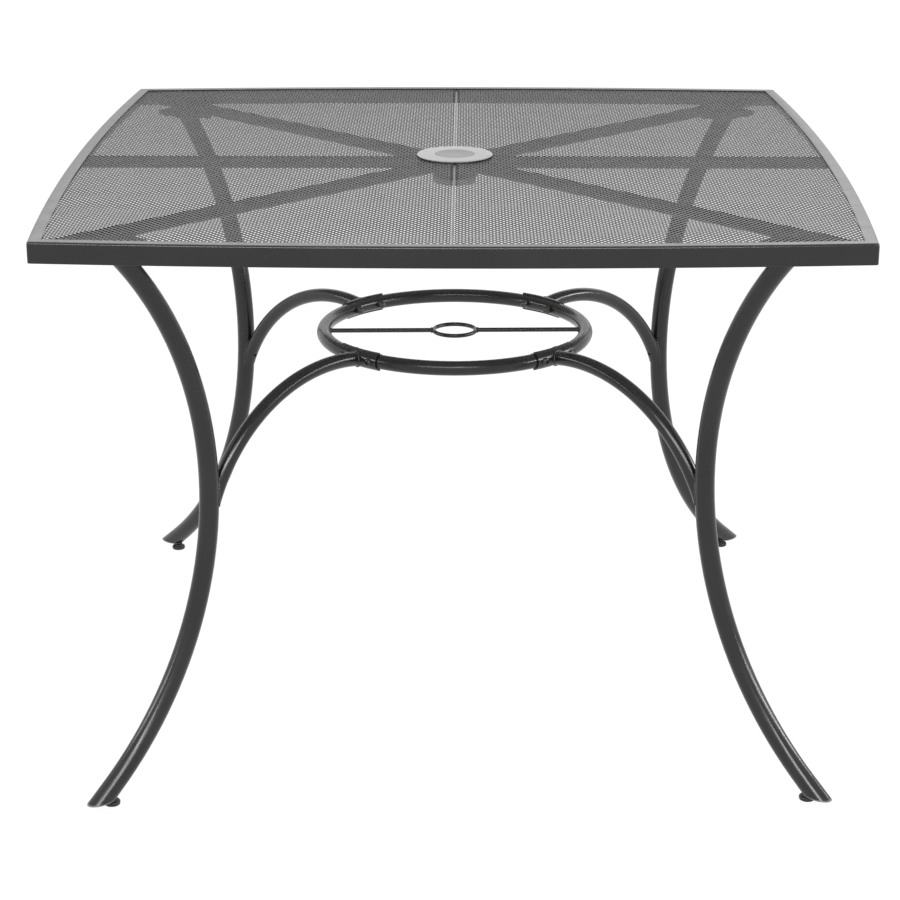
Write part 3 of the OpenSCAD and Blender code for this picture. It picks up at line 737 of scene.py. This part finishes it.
def thread():
    """Helix of low triangular section."""
    verts, faces = [], []
    total = THREAD_TURNS * THREAD_STEPS
    for k in range(total + 1):
        a = 2 * math.pi * k / THREAD_STEPS
        z = THREAD_START + THREAD_PITCH * k / THREAD_STEPS
        verts += [polar(THREAD_ROOT, a, z - THREAD_PITCH / 2), polar(THREAD_CREST, a, z),
                  polar(THREAD_ROOT, a, z + THREAD_PITCH / 2)]
    for k in range(total):
        a, b = k * 3, (k + 1) * 3
        faces += [(a, b, b + 1, a + 1), (a + 1, b + 1, b + 2, a + 2)]
    return verts, faces


for corner in CORNERS:
    low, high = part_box(f"glide_{corner}")
    m = Matrix.Translation(((low.x + high.x) / 2, (low.y + high.y) / 2, 0))
    parts = [moved(part, m) for part in (ribbed_pad(), thread(), shank(CORE_D, CORE_LOW, CORE_TOP))]
    piece(f"glide_pad_{corner}", *merge(parts), PAD, "pad", body=f"glide_{corner}",
          replaces=(f"glide_{corner}",), sharp=40)


# Stage and world: white to the camera, to reflections and through glass, plain light to the rest
def seen_rays(tree):
    """1 for camera, glossy and transmission rays, otherwise 0."""
    path = add(tree, "ShaderNodeLightPath")
    seen = path.outputs["Is Camera Ray"]
    for ray in ("Is Glossy Ray", "Is Transmission Ray"):
        either = add(tree, "ShaderNodeMath", operation="MAXIMUM")
        wire(tree, seen, either.inputs[0])
        wire(tree, path.outputs[ray], either.inputs[1])
        seen = either.outputs[0]
    return seen


def choose(tree, fac, a, b, out):
    """Sends shader a, or b where fac is 1, to an output."""
    mix = add(tree, "ShaderNodeMixShader")
    wire(tree, fac, mix.inputs[0])
    wire(tree, a, mix.inputs[1])
    wire(tree, b, mix.inputs[2])
    wire(tree, mix.outputs[0], out.inputs["Surface"])


def diffuse(tree, grey):
    n = add(tree, "ShaderNodeBsdfDiffuse")
    n.inputs["Color"].default_value = (grey, grey, grey, 1)
    return n.outputs[0]


def background(tree, strength):
    n = add(tree, "ShaderNodeBackground")
    n.inputs["Color"].default_value = (1, 1, 1, 1)
    n.inputs["Strength"].default_value = strength
    return n.outputs[0]


FLOOR_GREY, FLOOR_SHADOW, FLOOR_GLOW = 0.8, 0.14, 0.945
FLOOR_REACH, FLOOR_Z = 40, -0.0003
WORLD_SOFT, WORLD_SEEN = 0.80, 1.0

floor_mat = bpy.data.materials.new("stage_floor")
floor_mat.use_nodes = True
t = floor_mat.node_tree
t.nodes.clear()
glow = add(t, "ShaderNodeEmission")
glow.inputs["Strength"].default_value = FLOOR_GLOW
both = add(t, "ShaderNodeAddShader")
wire(t, diffuse(t, FLOOR_SHADOW), both.inputs[0])
wire(t, glow.outputs[0], both.inputs[1])
choose(t, seen_rays(t), diffuse(t, FLOOR_GREY), both.outputs[0], add(t, "ShaderNodeOutputMaterial"))
me = bpy.data.meshes.new("stage_floor")
me.from_pydata([(x * FLOOR_REACH, y * FLOOR_REACH, 0) for x, y in ((-1, -1), (1, -1), (1, 1), (-1, 1))],
               [], [(0, 1, 2, 3)])
me.materials.append(floor_mat)
floor = bpy.data.objects.new("stage_floor", me)
floor.location.z = FLOOR_Z
scene.collection.objects.link(floor)

world = bpy.data.worlds.new("studio")
scene.world = world
world.use_nodes = True
t = world.node_tree
t.nodes.clear()
choose(t, seen_rays(t), background(t, WORLD_SOFT), background(t, WORLD_SEEN),
       add(t, "ShaderNodeOutputWorld"))


def lamp(name, at, target, size_x, size_y, radiance, card=False):
    """Rectangular lamp aimed at a point. A card shows only in reflections, as a strip in the finish."""
    d = bpy.data.lights.new(name, "AREA")
    d.shape = "RECTANGLE"
    d.size, d.size_y = size_x, size_y
    d.energy = radiance * math.pi * size_x * size_y
    o = bpy.data.objects.new(name, d)
    o.location = at
    o.rotation_euler = (Vector(target) - Vector(at)).to_track_quat("-Z", "Y").to_euler()
    o.visible_camera = False
    o.visible_diffuse = not card
    scene.collection.objects.link(o)


lamp("lamp_rear", (2.4, 4.2, 2.3), (0.4, 0, 0.7), 3.0, 2.0, 0.3)
lamp("card_behind", (0.2, 3.2, 1.95), (0, 0, 0.9), 3.4, 0.70, 0.9, card=True)
lamp("card_front", (-0.3, -2.9, 2.35), (0, -0.3, 0.6), 2.8, 0.6, 15.0, card=True)
lamp("card_left", (-2.6, -0.5, 1.30), (0, -0.2, 0.5), 1.6, 0.30, 10.0, card=True)
lamp("card_right", (2.6, -0.3, 1.30), (0, -0.2, 0.5), 2.2, 0.35, 18.0, card=True)

scene.view_settings.view_transform = "Standard"
